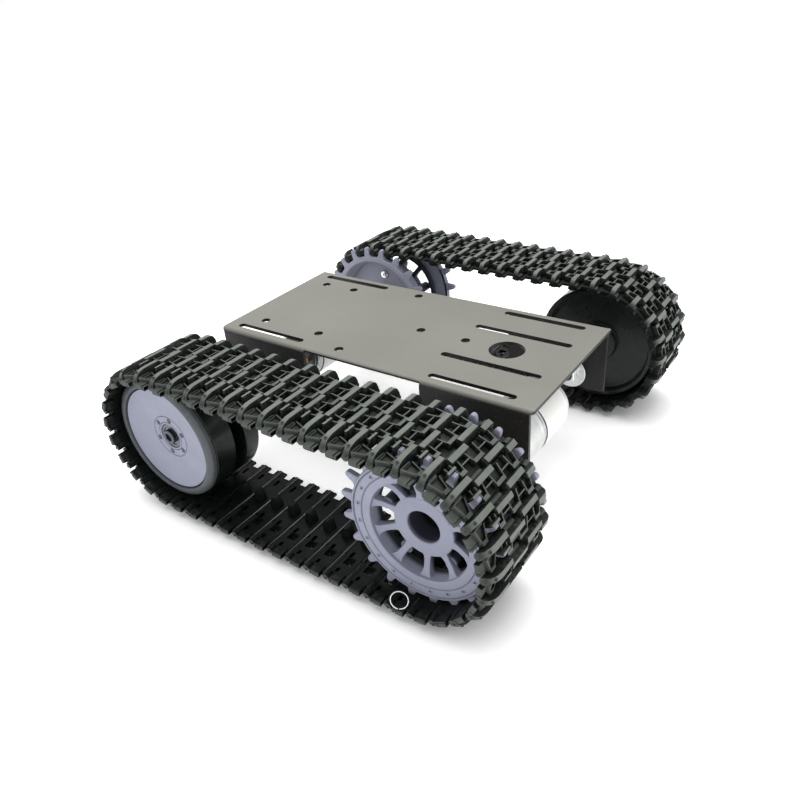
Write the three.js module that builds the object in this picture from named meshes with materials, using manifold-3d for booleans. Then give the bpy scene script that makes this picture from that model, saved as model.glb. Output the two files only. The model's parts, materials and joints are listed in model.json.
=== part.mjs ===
// Tracked tank chassis: a bent sheet-metal deck carried between two plastic link tracks.
// Units are millimetres, +Z up. Origin: centre of the footprint, on the ground.
// +X is along the tracks. The right track is on -Y, with its drive sprocket at +X and its
// idler at -X. The left drive is the same assembly turned half a turn about Z.

import * as THREE from "three";
import { mergeVertices } from "three/addons/utils/BufferGeometryUtils.js";
import Module from "manifold-3d";

const wasm = await Module();
wasm.setup();

// ---- driving dimensions -------------------------------------------------------------

// Track
const PITCH = 9.4; // pin to pin
const TEETH = 20; // links round one full wheel
const RUN_LINKS = 13; // links along each straight run
const LINK_ANGLE = (2 * Math.PI) / TEETH;
const PIN_RADIUS = PITCH / (2 * Math.sin(LINK_ANGLE / 2)); // circle of the link pins
const AXLE_X = (RUN_LINKS * PITCH) / 2;
const KNUCKLE = 1.6; // half thickness of a link at its pin
const GROUSER = 3.85; // height of a grouser above the pin line
const AXLE_Z = PIN_RADIUS + GROUSER; // the grousers stand on the ground
const TRACK_IN = 58; // |y| of the track's inner edge
const TRACK_OUT = 100; // |y| of the track's outer edge
const WEB_IN = 61.4; // |y| where the link web starts, clear of the inner teeth
const WINDOW = { from: 86.2, to: 90.9, halfLength: 2.75 }; // opening for the outer teeth
const HORN = { y: 77, halfWidth: 1.8, depth: 4.4 }; // guide horn inside each link
const SECTION_JOINT = 0.15; // half gap between the four sections of a track

// Sprocket
const ROOT_RADIUS = 27.7;
const TIP_RADIUS = 32.4;
const SPOKES = 10;
const SPOKE_PHASE = THREE.MathUtils.degToRad(21.4); // angle of the first spoke, up from +X
const POST_RADIUS = 15.4; // circle of the posts that join the sprocket halves
const POSTS = 5;

// Idler
const DRUM_RADIUS = 27.6;

// Deck
const DECK = { length: 156, width: 77, top: 58.2, thick: 1.5, bend: 2.4 };
const MIDDLE_EDGE = 37.7; // |y| of the deck's edge between the flanges
const FLANGE = { bottom: 26.9, end: 76.6, front: 29.9, rear: 28.8 };
const WALL_IN = DECK.width / 2 - DECK.thick; // |y| of a flange's inner face

// Loose snap ring: place of its middle, w outwards from the centre plane
const RING = { radius: 3.2, wire: 0.22, x: 57.6, w: 98.05 };

// Gearmotor
const GEARBOX_RADIUS = 12.5;
const CAN_RADIUS = 12.2;
const SHAFT_RADIUS = 2;
const GEARBOX_SCREWS = 8.5; // from the shaft to each mounting screw

// ---- materials ----------------------------------------------------------------------

const paint = (color, roughness, metalness = 0) => ({ color, roughness, metalness });
const DECK_PAINT = paint(0x77746b, 0.42, 0.35);
const TRACK_PLASTIC = paint(0x2f332f, 0.55);
const WHEEL_PLASTIC = paint(0x9a9aa8, 0.55);
const DRUM_PLASTIC = paint(0x101212, 0.25);
const STEEL = paint(0xb9bcc0, 0.3, 1);
const DARK_STEEL = paint(0x3c3e42, 0.35, 1);
const ALLOY = paint(0xc4c6ca, 0.4, 1);
const BRASS = paint(0xc7a45a, 0.35, 1);
const LABEL = paint(0xf1f1ee, 0.6);
const BLACK_PLASTIC = paint(0x17181a, 0.45);

// ---- solids -------------------------------------------------------------------------

// A closed geometry becomes a manifold solid; its faces are turned outwards if needed.
function solid(geometry) {
  const bare = geometry.clone();
  bare.deleteAttribute("normal");
  bare.deleteAttribute("uv");
  const merged = mergeVertices(bare.index ? bare.toNonIndexed() : bare, 1e-4);
  const points = merged.attributes.position.array;
  const index = merged.index.array;
  const corner = (i) => new THREE.Vector3().fromArray(points, 3 * i);
  const faces = [];
  let volume = 0;
  for (let i = 0; i < index.length; i += 3) {
    const [a, b, c] = [index[i], index[i + 1], index[i + 2]];
    if (a === b || b === c || c === a) continue;
    faces.push([a, b, c]);
    volume += corner(a).dot(corner(b).cross(corner(c)));
  }
  const triVerts = new Uint32Array(faces.flatMap(([a, b, c]) => (volume < 0 ? [a, c, b] : [a, b, c])));
  const vertProperties = new Float32Array(points);
  return new wasm.Manifold(new wasm.Mesh({ numProp: 3, vertProperties, triVerts }));
}

const join = (...solids) => solids.reduce((all, next) => all.add(next));
const cut = (body, ...tools) => tools.reduce((rest, tool) => rest.subtract(tool), body);

function mesh(name, body, look) {
  const { vertProperties, triVerts, numProp } = body.getMesh();
  const position = new Float32Array((vertProperties.length / numProp) * 3);
  for (let i = 0; i < position.length / 3; i++) {
    for (let k = 0; k < 3; k++) position[3 * i + k] = vertProperties[numProp * i + k];
  }
  const geometry = new THREE.BufferGeometry();
  geometry.setAttribute("position", new THREE.BufferAttribute(position, 3));
  geometry.setIndex(new THREE.BufferAttribute(triVerts, 1));
  geometry.computeVertexNormals();
  const result = new THREE.Mesh(geometry, new THREE.MeshStandardMaterial(look));
  result.name = name;
  return result;
}

// A side assembly is drawn for the right side: w is the distance out from the centre
// plane, so y = -w. Everything that turns there turns about the Y direction.

// Turned solid about an axle: profile points are [radius, w], given as a closed loop.
function turned(profile, { x = 0, z = 0, sides = 30 } = {}) {
  const points = [...profile, profile[0]].map(([r, w]) => new THREE.Vector2(r, w));
  return solid(new THREE.LatheGeometry(points, sides).rotateX(Math.PI).translate(x, 0, z));
}

const rod = (radius, w0, w1, place) => turned([[0, w0], [radius, w0], [radius, w1], [0, w1]], place);
const tube = (inner, outer, w0, w1, place) =>
  turned([[inner, w0], [outer, w0], [outer, w1], [inner, w1]], place);

// Flat outline in the XZ plane, given as [x, z] points, made solid from w0 to w1.
function slab(outline, w0, w1, holes = []) {
  const shape = new THREE.Shape(outline.map(([x, z]) => new THREE.Vector2(x, z)));
  for (const hole of holes) shape.holes.push(new THREE.Path(hole.map(([x, z]) => new THREE.Vector2(x, z))));
  const geometry = new THREE.ExtrudeGeometry(shape, { depth: w1 - w0, bevelEnabled: false });
  return solid(geometry.translate(0, 0, w0).rotateX(Math.PI / 2));
}

// Upright block between two corners.
function block([x0, y0, z0], [x1, y1, z1]) {
  const geometry = new THREE.BoxGeometry(x1 - x0, y1 - y0, z1 - z0);
  return solid(geometry.translate((x0 + x1) / 2, (y0 + y1) / 2, (z0 + z1) / 2));
}

const polar = (radius, angle, [cx, cz] = [0, 0]) => [
  cx + radius * Math.cos(angle),
  cz + radius * Math.sin(angle),
];

const polygon = (sides, radius, centre, phase = 0) =>
  Array.from({ length: sides }, (_, k) => polar(radius, phase + (2 * Math.PI * k) / sides, centre));

const hexagon = (acrossFlats, centre) => polygon(6, acrossFlats / Math.sqrt(3), centre, Math.PI / 6);

// ---- deck ---------------------------------------------------------------------------

// Cross-section of the folded sheet, walked round once: outside down one side, back inside.
function deckSection() {
  const half = DECK.width / 2;
  const arc = (sign, radius, from, to) =>
    Array.from({ length: 4 }, (_, k) => {
      const angle = from + ((to - from) * k) / 3;
      const [y, z] = polar(radius, angle, [half - DECK.bend, DECK.top - DECK.bend]);
      return [sign * y, z];
    });
  const inner = DECK.bend - DECK.thick;
  const down = Math.PI / 2;
  return [
    [half, FLANGE.bottom],
    ...arc(1, DECK.bend, 0, down),
    ...arc(-1, DECK.bend, down, 0),
    [-half, FLANGE.bottom],
    [-WALL_IN, FLANGE.bottom],
    ...arc(-1, inner, 0, down),
    ...arc(1, inner, down, 0),
    [WALL_IN, FLANGE.bottom],
  ];
}

function deck() {
  const section = new THREE.Shape(deckSection().map(([y, z]) => new THREE.Vector2(y, z)));
  const folded = new THREE.ExtrudeGeometry(section, { depth: DECK.length, bevelEnabled: false });
  folded.translate(0, 0, -DECK.length / 2).rotateX(Math.PI / 2).rotateZ(Math.PI / 2);
  let sheet = solid(folded);

  // The flanges stop short of both ends and are left out along the middle.
  const far = DECK.width;
  const low = FLANGE.bottom - 1;
  const underside = DECK.top - DECK.thick;
  for (const side of [-1, 1]) {
    const inner = side * MIDDLE_EDGE;
    const outer = side * far;
    const [y0, y1] = [Math.min(inner, outer), Math.max(inner, outer)];
    const [v0, v1] = [Math.min(side * (WALL_IN - 2), outer), Math.max(side * (WALL_IN - 2), outer)];
    sheet = cut(
      sheet,
      block([-FLANGE.rear, y0, low], [FLANGE.front, y1, DECK.top + 1]),
      block([-FLANGE.rear, v0, low], [FLANGE.front, v1, underside]),
      block([FLANGE.end, v0, low], [DECK.length, v1, underside]),
      block([-DECK.length, v0, low], [-FLANGE.end, v1, underside]),
    );
  }

  const drill = (x, y, radius, sides) => {
    const tool = new THREE.CylinderGeometry(radius, radius, 6, sides).rotateX(Math.PI / 2);
    return solid(tool.translate(x, y, DECK.top - 0.75));
  };
  const slot = (x0, x1, y) => {
    const radius = 1.65;
    const bar = block([x0 + radius, y - radius, DECK.top - 4], [x1 - radius, y + radius, DECK.top + 2]);
    return join(bar, drill(x0 + radius, y, radius, 12), drill(x1 - radius, y, radius, 12));
  };
  for (const side of [-1, 1]) {
    const outer = 32.2 * side;
    sheet = cut(sheet, slot(-72, -34, outer), slot(30.5, 68.5, outer), slot(25.5, 70, 14.5 * side));
  }
  const holes = [
    [-65.5, 23.3], [-64, -23.3], [-48.5, 23.5], [-32.7, -23], [-15, 31], [-15, -31], [6.3, 0], [28.6, 0],
  ];
  for (const [x, y] of holes) sheet = cut(sheet, drill(x, y, 2, 16));
  sheet = cut(sheet, drill(48, 0, 7.5, 28));

  // Holes through the flanges: gearbox nose and two screws at the motor, one at the idler.
  const wall = (x, side, radius) => {
    const tool = new THREE.CylinderGeometry(radius, radius, 6, 16);
    return solid(tool.translate(x, side * (WALL_IN + DECK.thick / 2), AXLE_Z));
  };
  for (const side of [-1, 1]) {
    const motorX = -side * AXLE_X;
    sheet = cut(sheet, wall(motorX, side, 3.8), wall(-motorX, side, 2.3));
    for (const offset of [-GEARBOX_SCREWS, GEARBOX_SCREWS]) {
      sheet = cut(sheet, wall(motorX + offset, side, 1.65));
    }
  }
  return sheet;
}

// ---- track --------------------------------------------------------------------------

// The pins of one loop, in order round it, each with the outward direction there.
function trackPins() {
  const pins = [];
  const run = (x0, z, up) => {
    for (let k = 0; k < RUN_LINKS; k++) {
      const x = x0 - Math.sign(x0) * k * PITCH;
      pins.push({ x, z, out: up ? Math.PI / 2 : -Math.PI / 2 });
    }
  };
  const wrap = (x, start) => {
    for (let k = 0; k < TEETH / 2; k++) {
      const angle = start + k * LINK_ANGLE;
      const [px, pz] = polar(PIN_RADIUS, angle, [x, AXLE_Z]);
      pins.push({ x: px, z: pz, out: angle });
    }
  };
  wrap(AXLE_X, -Math.PI / 2);
  run(AXLE_X, AXLE_Z + PIN_RADIUS, true);
  wrap(-AXLE_X, Math.PI / 2);
  run(-AXLE_X, AXLE_Z - PIN_RADIUS, false);
  return pins;
}

// Point at a distance along and out from a pin.
const fromPin = ({ x, z, out }, along, high) => [
  x + high * Math.cos(out) - along * Math.sin(out),
  z + high * Math.sin(out) + along * Math.cos(out),
];

// Grouser over a pin: wide at its foot, narrower on top.
const grouser = (pin, top) => [
  fromPin(pin, -2.2, KNUCKLE),
  fromPin(pin, -1.65, top),
  fromPin(pin, 1.65, top),
  fromPin(pin, 2.2, KNUCKLE),
];

function trackSections(suffix) {
  const pins = trackPins();
  const outside = (top) => pins.flatMap((pin) => grouser(pin, top));
  const inside = pins.map((pin) => fromPin(pin, 0, -KNUCKLE));
  let loop = slab(outside(GROUSER), TRACK_IN, TRACK_OUT, [inside]);

  // Openings between the pins for both rows of teeth; the inner row is open at the edge.
  const window = (pin, w0, w1) => {
    const middle = (along, high) => fromPin({ ...pin, out: pin.middle }, along, high);
    const half = WINDOW.halfLength;
    return slab([middle(-half, -3), middle(half, -3), middle(half, 3), middle(-half, 3)], w0, w1);
  };
  const horn = (pin) => {
    const at = (along, high) => fromPin({ ...pin, out: pin.middle }, along, high);
    const tip = -KNUCKLE - HORN.depth;
    const outline = [at(-2.1, -1), at(-1, tip), at(1, tip), at(2.1, -1)];
    return slab(outline, HORN.y - HORN.halfWidth, HORN.y + HORN.halfWidth);
  };
  pins.forEach((pin, k) => {
    const next = pins[(k + 1) % pins.length];
    const link = {
      x: (pin.x + next.x) / 2,
      z: (pin.z + next.z) / 2,
      middle: Math.atan2(pin.x - next.x, next.z - pin.z),
    };
    loop = cut(
      loop.add(horn(link)),
      window(link, WINDOW.from, WINDOW.to),
      window(link, TRACK_IN - 1, WEB_IN),
    );
  });

  // The loop is four sections of links: two straight runs and a wrap round each wheel.
  const cutX = AXLE_X + 2.5;
  const box = (x0, x1, z0, z1) => block([x0, -TRACK_OUT - 5, z0], [x1, -TRACK_IN + 5, z1]);
  const inner = cutX - SECTION_JOINT;
  const outer = cutX + SECTION_JOINT;
  const sections = {
    upper_run: box(-inner, inner, AXLE_Z, 2 * AXLE_Z + 5),
    lower_run: box(-inner, inner, -5, AXLE_Z),
    sprocket_wrap: box(outer, outer + 60, -5, 2 * AXLE_Z + 5),
    idler_wrap: box(-outer - 60, -outer, -5, 2 * AXLE_Z + 5),
  };
  return Object.entries(sections).map(([part, region]) =>
    mesh(`track_${suffix}_${part}`, loop.intersect(region), TRACK_PLASTIC),
  );
}

// ---- sprocket -----------------------------------------------------------------------

// Toothed outline; the teeth stand midway between the pins.
function gearOutline(centre) {
  const outline = [];
  for (let k = 0; k < TEETH; k++) {
    const middle = (k + 0.5) * LINK_ANGLE;
    const flank = [[ROOT_RADIUS, 0.074], [TIP_RADIUS, 0.028]];
    for (const [radius, half] of flank) outline.push(polar(radius, middle - half, centre));
    for (const [radius, half] of flank.reverse()) outline.push(polar(radius, middle + half, centre));
  }
  return outline;
}

function sprocket(suffix) {
  const centre = [AXLE_X, AXLE_Z];
  const place = { x: AXLE_X, z: AXLE_Z };
  const gear = (w0, w1, hole) => slab(gearOutline(centre), w0, w1, [polygon(32, hole, centre)]);

  // Outer half: open, with spokes between a hub and a raised rim.
  const rim = [
    [19.6, 82.5], [19.6, 89.7], [26.7, 90.2], [27.3, 89.7], [27.3, 87], [21.4, 87], [21.4, 82.5],
  ];
  const hub = [[6.5, 77.8], [6.5, 86], [12, 86], [12, 82], [9.6, 82], [9.6, 77.8]];
  let outer = join(turned(rim, place), gear(87, 89.3, 24), turned(hub, { ...place, sides: 24 }));
  for (let k = 0; k < SPOKES; k++) {
    const angle = SPOKE_PHASE + (2 * Math.PI * k) / SPOKES;
    const corner = (radius, side) => {
      const [x, z] = polar(radius, angle, centre);
      return [x - side * Math.sin(angle), z + side * Math.cos(angle)];
    };
    const spoke = [corner(11.4, -1.2), corner(20.4, -1.5), corner(20.4, 1.5), corner(11.4, 1.2)];
    outer = outer.add(slab(spoke, 84, 86.4));
    if (k % (SPOKES / POSTS) === 0) {
      const [x, z] = polar(POST_RADIUS, angle, centre);
      outer = outer.add(rod(2.4, 68.3, 85, { x, z, sides: 10 }));
    }
  }

  // Inner half: a closed dish behind the teeth, with a hexagonal socket at its centre.
  const dish = [
    [2.4, 66], [22.4, 66], [24.6, 58.6], [25, 58], [27.3, 58], [27.3, 61], [25.6, 61], [24, 68], [2.4, 68],
  ];
  const inner = join(
    turned(dish, place),
    gear(58.2, 60.4, 26),
    slab(polygon(20, 9, centre), 60, 66.2, [hexagon(12.6, centre)]),
  );

  const screwHead = cut(
    join(rod(3.6, 68.3, 71.2, { ...place, sides: 20 }), rod(1.95, 55.6, 68.6, { ...place, sides: 14 })),
    slab(hexagon(3, centre), 69.6, 72),
  );
  return [
    mesh(`sprocket_outer_${suffix}`, outer, WHEEL_PLASTIC),
    mesh(`sprocket_inner_${suffix}`, inner, WHEEL_PLASTIC),
    mesh(`sprocket_sleeve_${suffix}`, tube(7.4, 9.3, 68.3, 77.5, { ...place, sides: 24 }), WHEEL_PLASTIC),
    mesh(`sprocket_screw_${suffix}`, screwHead, STEEL),
  ];
}

// ---- gearmotor ----------------------------------------------------------------------

function motor(suffix) {
  const centre = [AXLE_X, AXLE_Z];
  const place = { x: AXLE_X, z: AXLE_Z };
  const round = { ...place, sides: 26 };
  const front = WALL_IN - 0.3;
  const back = front - 20;
  const canBack = back - 24.3;
  const at = (dx) => ({ x: AXLE_X + dx, z: AXLE_Z, sides: 12 });

  const gearbox = cut(
    join(rod(GEARBOX_RADIUS, back, front, round), rod(3.5, front - 1, 39.1, { ...place, sides: 16 })),
    rod(SHAFT_RADIUS + 0.08, 27.5, 40, { ...place, sides: 16 }),
    rod(1.65, front - 5, front + 1, at(-GEARBOX_SCREWS)),
    rod(1.65, front - 5, front + 1, at(GEARBOX_SCREWS)),
  );
  const can = turned(
    [[0, canBack], [11.6, canBack], [CAN_RADIUS, canBack + 0.6], [CAN_RADIUS, back - 0.3], [0, back - 0.3]],
    round,
  );
  let cap = join(
    rod(10.2, canBack - 1.8, canBack - 0.3, { ...place, sides: 20 }),
    rod(3.1, canBack - 3, canBack - 1, { ...place, sides: 14 }),
  );
  for (const dx of [-7.4, 7.4]) {
    const x = AXLE_X + dx;
    cap = cap.add(block([x - 0.3, -(canBack - 1), AXLE_Z - 1.4], [x + 0.3, -(canBack - 6), AXLE_Z + 1.4]));
  }
  const label = tube(CAN_RADIUS + 0.3, CAN_RADIUS + 0.55, canBack + 3.4, back - 2, round);
  const flat = block([AXLE_X - 4, -60, AXLE_Z + 1.6], [AXLE_X + 4, -38.9, AXLE_Z + 4]);
  const shaft = cut(rod(SHAFT_RADIUS, 28, 52, { ...place, sides: 16 }), flat);
  const grubHole = (radius, low, high) => {
    const tool = new THREE.CylinderGeometry(radius, radius, high - low, 10).rotateX(Math.PI / 2);
    return solid(tool.translate(AXLE_X, -47, AXLE_Z + (low + high) / 2));
  };
  const coupling = cut(
    slab(hexagon(12, centre), 42, 65.4, [polygon(14, 2.35, centre)]),
    grubHole(1.75, 1, 8),
  );
  const screw = (dx) =>
    join(rod(2.7, 38.8, 40.6, at(dx)), rod(1.35, 32.2, 39, at(dx)));
  return [
    mesh(`gearbox_${suffix}`, gearbox, ALLOY),
    mesh(`motor_can_${suffix}`, can, STEEL),
    mesh(`motor_label_${suffix}`, label, LABEL),
    mesh(`motor_end_cap_${suffix}`, cap, BLACK_PLASTIC),
    mesh(`motor_screw_a_${suffix}`, screw(-GEARBOX_SCREWS), STEEL),
    mesh(`motor_screw_b_${suffix}`, screw(GEARBOX_SCREWS), STEEL),
    mesh(`output_shaft_${suffix}`, shaft, STEEL),
    mesh(`hex_coupling_${suffix}`, coupling, BRASS),
    mesh(`grub_screw_${suffix}`, grubHole(1.4, 2, 5.6), DARK_STEEL),
  ];
}

// ---- idler --------------------------------------------------------------------------

function idler(suffix) {
  const centre = [-AXLE_X, AXLE_Z];
  const place = { x: -AXLE_X, z: AXLE_Z };
  const small = { ...place, sides: 18 };
  const cap = [
    [5.6, 84.5], [5.6, 89.6], [9.3, 89.9], [23.6, 92.5], [23.8, 93.6], [25.4, 93.6], [27.3, 92.2],
    [27.3, 90.4], [7.4, 87.6], [7.4, 84.5],
  ];
  const outerDrum = [[6, 80], [DRUM_RADIUS, 80], [DRUM_RADIUS, 90.1], [25.9, 90.1], [25.9, 82], [6, 82]];
  const innerDrum = [
    [5.6, 67], [9, 67], [9, 70], [24.2, 70], [25, 66], [DRUM_RADIUS, 66.6], [DRUM_RADIUS, 74],
    [12, 74], [12, 79.7], [5.6, 79.7],
  ];
  const bolt = cut(
    join(rod(3.2, 89.8, 91.2, small), rod(2, 30.2, 90, small)),
    slab(hexagon(3, centre), 90.2, 92),
  );
  const nut = slab(hexagon(7, centre), 31.9, 35.1, [polygon(14, 2.35, centre)]);
  return [
    mesh(`idler_cap_${suffix}`, turned(cap, place), WHEEL_PLASTIC),
    mesh(`idler_outer_drum_${suffix}`, turned(outerDrum, place), DRUM_PLASTIC),
    mesh(`idler_inner_drum_${suffix}`, turned(innerDrum, place), DRUM_PLASTIC),
    mesh(`idler_outer_bearing_${suffix}`, tube(2.08, 5.3, 85, 89.4, small), STEEL),
    mesh(`idler_inner_bearing_${suffix}`, tube(2.08, 5.3, 67.3, 71, small), STEEL),
    mesh(`idler_bolt_${suffix}`, bolt, DARK_STEEL),
    mesh(`idler_spacer_${suffix}`, tube(2.3, 4, 38.8, 67, small), ALLOY),
    mesh(`idler_washer_${suffix}`, tube(2.3, 7.4, 35.4, 36.7, small), STEEL),
    mesh(`idler_nut_${suffix}`, nut, STEEL),
  ];
}

// ---- loose ring ---------------------------------------------------------------------

// A thin snap ring that stands on the right-hand track's lower run, beside the sprocket.
function snapRing() {
  const ring = new THREE.TorusGeometry(RING.radius, RING.wire, 8, 36);
  const facing = new THREE.Vector3(0.36, -0.86, 0.36).normalize();
  const lean = new THREE.Quaternion().setFromUnitVectors(new THREE.Vector3(0, 0, 1), facing);
  const foot = AXLE_Z - PIN_RADIUS + KNUCKLE + 0.3;
  const height = RING.radius * Math.sqrt(1 - facing.z ** 2) + RING.wire;
  return solid(ring.applyQuaternion(lean).translate(RING.x, -RING.w, foot + height));
}

// ---- assembly -----------------------------------------------------------------------

const group = new THREE.Group();
group.add(mesh("chassis_deck", deck(), DECK_PAINT));
group.add(mesh("snap_ring_right", snapRing(), STEEL));
for (const [suffix, turn] of [["right", 0], ["left", Math.PI]]) {
  const side = new THREE.Group();
  side.add(...trackSections(suffix), ...sprocket(suffix), ...motor(suffix), ...idler(suffix));
  side.rotation.z = turn;
  group.add(side);
}

export default group;
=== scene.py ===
"""Tracked tank chassis: surfaces, materials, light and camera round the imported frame."""

import json
import math

import bmesh
import bpy
import numpy as np
from mathutils import Matrix, Vector
from mathutils.geometry import tessellate_polygon


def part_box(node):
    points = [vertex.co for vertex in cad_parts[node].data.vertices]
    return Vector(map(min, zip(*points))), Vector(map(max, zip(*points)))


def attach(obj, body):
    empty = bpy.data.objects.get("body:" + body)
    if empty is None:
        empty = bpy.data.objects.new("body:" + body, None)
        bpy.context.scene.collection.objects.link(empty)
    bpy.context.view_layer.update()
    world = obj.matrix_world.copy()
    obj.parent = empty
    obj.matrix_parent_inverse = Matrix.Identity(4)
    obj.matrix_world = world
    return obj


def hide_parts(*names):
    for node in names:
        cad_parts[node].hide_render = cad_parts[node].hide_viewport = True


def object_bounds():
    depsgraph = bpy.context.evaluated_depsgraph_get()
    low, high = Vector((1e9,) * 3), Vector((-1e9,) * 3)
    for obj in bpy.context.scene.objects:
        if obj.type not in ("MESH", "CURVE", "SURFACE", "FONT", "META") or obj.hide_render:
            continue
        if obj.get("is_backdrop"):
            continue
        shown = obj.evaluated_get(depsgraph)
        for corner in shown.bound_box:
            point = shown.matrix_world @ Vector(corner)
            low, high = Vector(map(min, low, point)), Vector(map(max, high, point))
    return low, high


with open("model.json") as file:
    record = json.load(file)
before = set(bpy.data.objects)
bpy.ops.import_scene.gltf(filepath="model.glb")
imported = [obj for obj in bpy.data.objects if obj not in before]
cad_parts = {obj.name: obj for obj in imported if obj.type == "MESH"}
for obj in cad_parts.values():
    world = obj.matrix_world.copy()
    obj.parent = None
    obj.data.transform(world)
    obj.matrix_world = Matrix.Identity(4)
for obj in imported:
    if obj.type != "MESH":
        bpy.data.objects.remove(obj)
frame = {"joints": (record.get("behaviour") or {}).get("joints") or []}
cad_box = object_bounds()

# ---- dimensions, in millimetres ----

MM = 0.001
TINY = 1e-6
JOINTS = {joint["name"]: joint for joint in frame["joints"]}
AXLE_X, _, AXLE_Z = (value / MM for value in JOINTS["right_drive"]["pos_m"])
TEETH, RUN_LINKS = 20, 13
PITCH = 2 * AXLE_X / RUN_LINKS
STEP = 2 * math.pi / TEETH
PIN_R = PITCH / (2 * math.sin(STEP / 2))
SPOKES, POSTS = 10, 5
SPOKE_PHASE = math.radians(21.4)
SMOOTH_ANGLE = math.radians(32)


def box_mm(node):
    """Lowest and highest corner of a CAD node, in millimetres."""
    low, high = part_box(node)
    return Vector(low) / MM, Vector(high) / MM


DECK_LOW, DECK_HIGH = box_mm("chassis_deck")
DECK_TOP = DECK_HIGH.z
SHEET = 1.5
WALL_IN = DECK_HIGH.y - SHEET

# ---- shapes ----
# A side is drawn for the right-hand track: w is the distance out from the centre plane,
# so y = -w. The left-hand side is the same, turned half a turn about Z.


def polar(radius, angle, centre=(0.0, 0.0)):
    return centre[0] + radius * math.cos(angle), centre[1] + radius * math.sin(angle)


def circle(radius, centre=(0.0, 0.0), sides=48, phase=0.0):
    return [polar(radius, phase + 2 * math.pi * k / sides, centre) for k in range(sides)]


def hexagon(across_flats, centre=(0.0, 0.0)):
    return circle(across_flats / math.sqrt(3), centre, 6, math.pi / 6)


def fillet(points, radius, steps=3):
    """A closed outline with its corners rounded."""
    result = []
    count = len(points)
    for k in range(count):
        here = Vector(points[k])
        before, after = Vector(points[k - 1]) - here, Vector(points[(k + 1) % count]) - here
        if before.length < TINY or after.length < TINY:
            continue
        turn = before.angle(after)
        if turn > math.radians(165) or turn < math.radians(4):
            result.append(tuple(here))
            continue
        reach = min(radius / math.tan(turn / 2), 0.45 * before.length, 0.45 * after.length)
        start, end = here + before.normalized() * reach, here + after.normalized() * reach
        for i in range(steps + 1):
            t = i / steps
            result.append(tuple(start * (1 - t) ** 2 + here * 2 * t * (1 - t) + end * t * t))
    return result


def inset(points, distance):
    """An outline moved inwards; the outline runs anticlockwise."""
    result = []
    count = len(points)
    for k in range(count):
        here = Vector(points[k])
        one = (here - Vector(points[k - 1])).normalized()
        two = (Vector(points[(k + 1) % count]) - here).normalized()
        normal = Vector((-one.y - two.y, one.x + two.x))
        if normal.length < TINY:
            normal = Vector((-one.y, one.x))
        normal.normalize()
        lean = max(0.5, normal.dot(Vector((-one.y, one.x))))
        result.append(tuple(here + normal * distance / lean))
    return result


def anticlockwise(points):
    area = sum(a[0] * b[1] - b[0] * a[1] for a, b in zip([points[-1], *points], points))
    return points if area > 0 else points[::-1]


def chamfer(work, width, angle):
    """Cuts back every edge that is sharper than the angle."""
    sharp = [e for e in work.edges if e.calc_face_angle(0) > angle]
    bmesh.ops.bevel(
        work, geom=sharp, offset=width, segments=1, profile=0.5, affect="EDGES", clamp_overlap=True
    )


def smooth(mesh, angle):
    """Smooth shading, except over edges sharper than the angle."""
    mesh.polygons.foreach_set("use_smooth", [True] * len(mesh.polygons))
    mesh.set_sharp_from_angle(angle=angle)


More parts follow.
